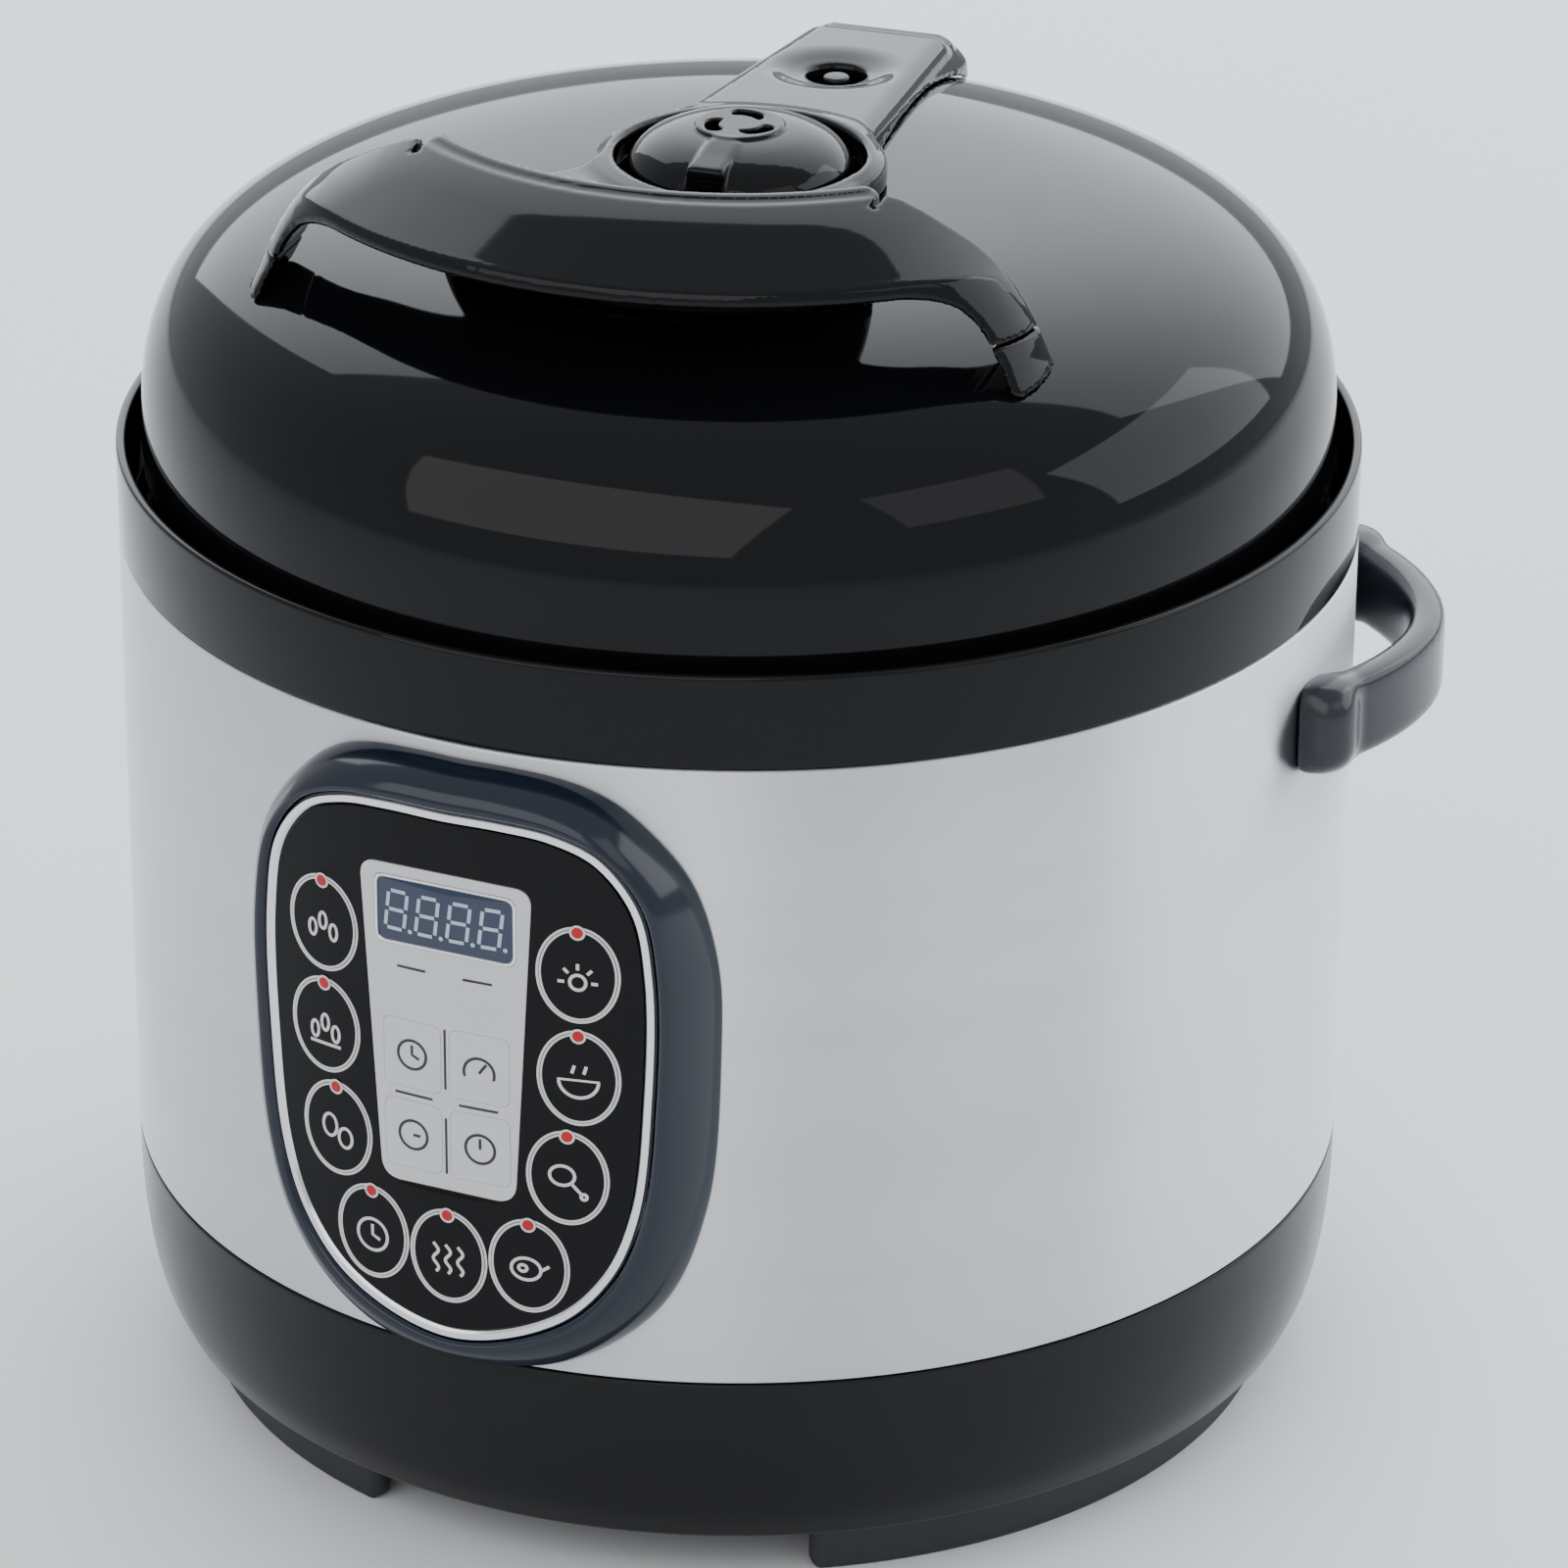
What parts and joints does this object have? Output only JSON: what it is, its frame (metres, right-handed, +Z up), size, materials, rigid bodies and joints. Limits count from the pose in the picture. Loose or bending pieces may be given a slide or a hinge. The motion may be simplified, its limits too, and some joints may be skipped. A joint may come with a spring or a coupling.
{
  "type": "electric pressure cooker",
  "caption": "Round electric pressure cooker: steel sleeve, black base and collar, domed twist-lock lid with bridge handle and steam valve, curved key panel, side loops and lift-out pot.",
  "frame": {"origin": "centre of the cooker on the worktop, under its vertical axis", "axes": "+Z up, -Y towards the control panel, +X to the right when facing the panel"},
  "size_m": [0.2396, 0.2326, 0.2364],
  "materials": {
    "gloss_black": "high gloss",
    "satin_black": "satin",
    "dark_grey": "satin",
    "navy_gloss": "gloss",
    "steel_satin": "satin brushed",
    "steel_bright": "polished",
    "aluminium": "as cast and turned",
    "chrome_trim": "bright",
    "brass": "plain",
    "clear_silicone": "translucent matt",
    "red_silicone": "matt",
    "card_grey": "matt print",
    "window_blue": "clear gloss",
    "circuit_green": "solder mask",
    "component": "matt",
    "smoke": "gloss"
  },
  "bodies": {
    "base": {"base_shell": "satin_black", "bottom_cover": "satin_black", "foot_skirt_right": "dark_grey", "foot_skirt_left": "dark_grey", "body_sleeve": "steel_satin", "top_collar": "gloss_black", "drain_spout": "satin_black", "pressure_housing": "aluminium", "heating_plate": "aluminium", "heating_element": "steel_satin", "sensor_holder": "component", "pressure_switch": "component", "thermal_fuse": "chrome_trim", "power_board": "circuit_green", "power_transformer": "component", "power_relay": "component", "power_inlet": "component", "inlet_pin_left": "brass", "inlet_pin_right": "brass", "inlet_pin_earth": "brass", "side_handle_right": "dark_grey", "side_handle_left": "dark_grey", "panel_housing": "navy_gloss", "panel_trim": "chrome_trim", "panel_fascia": "gloss_black", "display_card": "card_grey", "display_window": "window_blue", "led_display": "window_blue", "control_board": "circuit_green"},
    "sensor": {"thermal_sensor": "aluminium"},
    "cup": {"condensation_cup": "smoke"},
    "pot": {"inner_pot": "steel_bright"},
    "seal": {"sealing_ring": "clear_silicone", "seal_rack": "steel_bright"},
    "lid": {"inner_lid": "steel_bright", "lid_cover": "gloss_black", "lid_handle": "gloss_black", "handle_foot_right": "gloss_black", "handle_foot_left": "gloss_black", "exhaust_pipe": "steel_bright", "pipe_nut": "steel_bright", "anti_block_cap": "steel_bright"},
    "float": {"float_valve": "red_silicone", "float_seal": "clear_silicone"},
    "weight": {"valve_weight": "steel_bright"},
    "knob": {"valve_knob": "gloss_black"},
    "white_rice_key": {"key_white_rice": "gloss_black"},
    "brown_rice_key": {"key_brown_rice": "gloss_black"},
    "beans_key": {"key_beans": "gloss_black"},
    "slow_cook_key": {"key_slow_cook": "gloss_black"},
    "steam_key": {"key_steam": "gloss_black"},
    "meat_key": {"key_meat": "gloss_black"},
    "poultry_key": {"key_poultry": "gloss_black"},
    "soup_key": {"key_soup": "gloss_black"},
    "keep_warm_key": {"key_keep_warm": "gloss_black"},
    "delay_key": {"key_delay": "card_grey"},
    "pressure_key": {"key_pressure": "card_grey"},
    "hour_key": {"key_hour": "card_grey"},
    "minute_key": {"key_minute": "card_grey"}
  },
  "joints": [
    {"name": "pot_lift", "type": "slide", "parent": "base", "child": "pot", "axis": [0, 0, 1], "range_m": [0, 0.15]},
    {"name": "lid_lift", "type": "slide", "parent": "pot", "child": "seal", "axis": [0, 0, 1], "range_m": [0, 0.12]},
    {"name": "lid_turn", "type": "hinge", "parent": "seal", "child": "lid", "pos_m": [0, 0, 0.1], "axis": [0, 0, 1], "range_deg": [-30, 0]},
    {"name": "float_rise", "type": "slide", "parent": "lid", "child": "float", "axis": [0, 0, 1], "range_m": [0, 0.0055]},
    {"name": "weight_lift", "type": "slide", "parent": "lid", "child": "weight", "axis": [0, 0, 1], "range_m": [0, 0.02]},
    {"name": "knob_turn", "type": "hinge", "parent": "weight", "child": "knob", "pos_m": [0, 0, 0.2], "axis": [0, 0, 1], "range_deg": [0, 45]},
    {"name": "sensor_press", "type": "slide", "parent": "base", "child": "sensor", "axis": [0, 0, 1], "range_m": [-0.002, 0], "stiffness_N_per_m": 900},
    {"name": "cup_pull", "type": "slide", "parent": "base", "child": "cup", "axis": [0, 1, 0], "range_m": [0, 0.03]},
    {"name": "white_rice_key_press", "type": "slide", "parent": "base", "child": "white_rice_key", "axis": [0.1995, 0.9799, 0], "range_m": [0, 0.0006], "stiffness_N_per_m": 500},
    {"name": "brown_rice_key_press", "type": "slide", "parent": "base", "child": "brown_rice_key", "axis": [0.1995, 0.9799, 0], "range_m": [0, 0.0006], "stiffness_N_per_m": 500},
    {"name": "beans_key_press", "type": "slide", "parent": "base", "child": "beans_key", "axis": [0.1825, 0.9832, 0], "range_m": [0, 0.0006], "stiffness_N_per_m": 500},
    {"name": "slow_cook_key_press", "type": "slide", "parent": "base", "child": "slow_cook_key", "axis": [0.1244, 0.9922, 0], "range_m": [0, 0.0006], "stiffness_N_per_m": 500},
    {"name": "steam_key_press", "type": "slide", "parent": "base", "child": "steam_key", "axis": [0, 1, 0], "range_m": [0, 0.0006], "stiffness_N_per_m": 500},
    {"name": "meat_key_press", "type": "slide", "parent": "base", "child": "meat_key", "axis": [-0.1244, 0.9922, 0], "range_m": [0, 0.0006], "stiffness_N_per_m": 500},
    {"name": "poultry_key_press", "type": "slide", "parent": "base", "child": "poultry_key", "axis": [-0.1825, 0.9832, 0], "range_m": [0, 0.0006], "stiffness_N_per_m": 500},
    {"name": "soup_key_press", "type": "slide", "parent": "base", "child": "soup_key", "axis": [-0.1995, 0.9799, 0], "range_m": [0, 0.0006], "stiffness_N_per_m": 500},
    {"name": "keep_warm_key_press", "type": "slide", "parent": "base", "child": "keep_warm_key", "axis": [-0.1995, 0.9799, 0], "range_m": [0, 0.0006], "stiffness_N_per_m": 500},
    {"name": "delay_key_press", "type": "slide", "parent": "base", "child": "delay_key", "axis": [0.0528, 0.9986, 0], "range_m": [0, 0.0006], "stiffness_N_per_m": 500},
    {"name": "pressure_key_press", "type": "slide", "parent": "base", "child": "pressure_key", "axis": [-0.0528, 0.9986, 0], "range_m": [0, 0.0006], "stiffness_N_per_m": 500},
    {"name": "hour_key_press", "type": "slide", "parent": "base", "child": "hour_key", "axis": [0.0528, 0.9986, 0], "range_m": [0, 0.0006], "stiffness_N_per_m": 500},
    {"name": "minute_key_press", "type": "slide", "parent": "base", "child": "minute_key", "axis": [-0.0528, 0.9986, 0], "range_m": [0, 0.0006], "stiffness_N_per_m": 500}
  ]
}
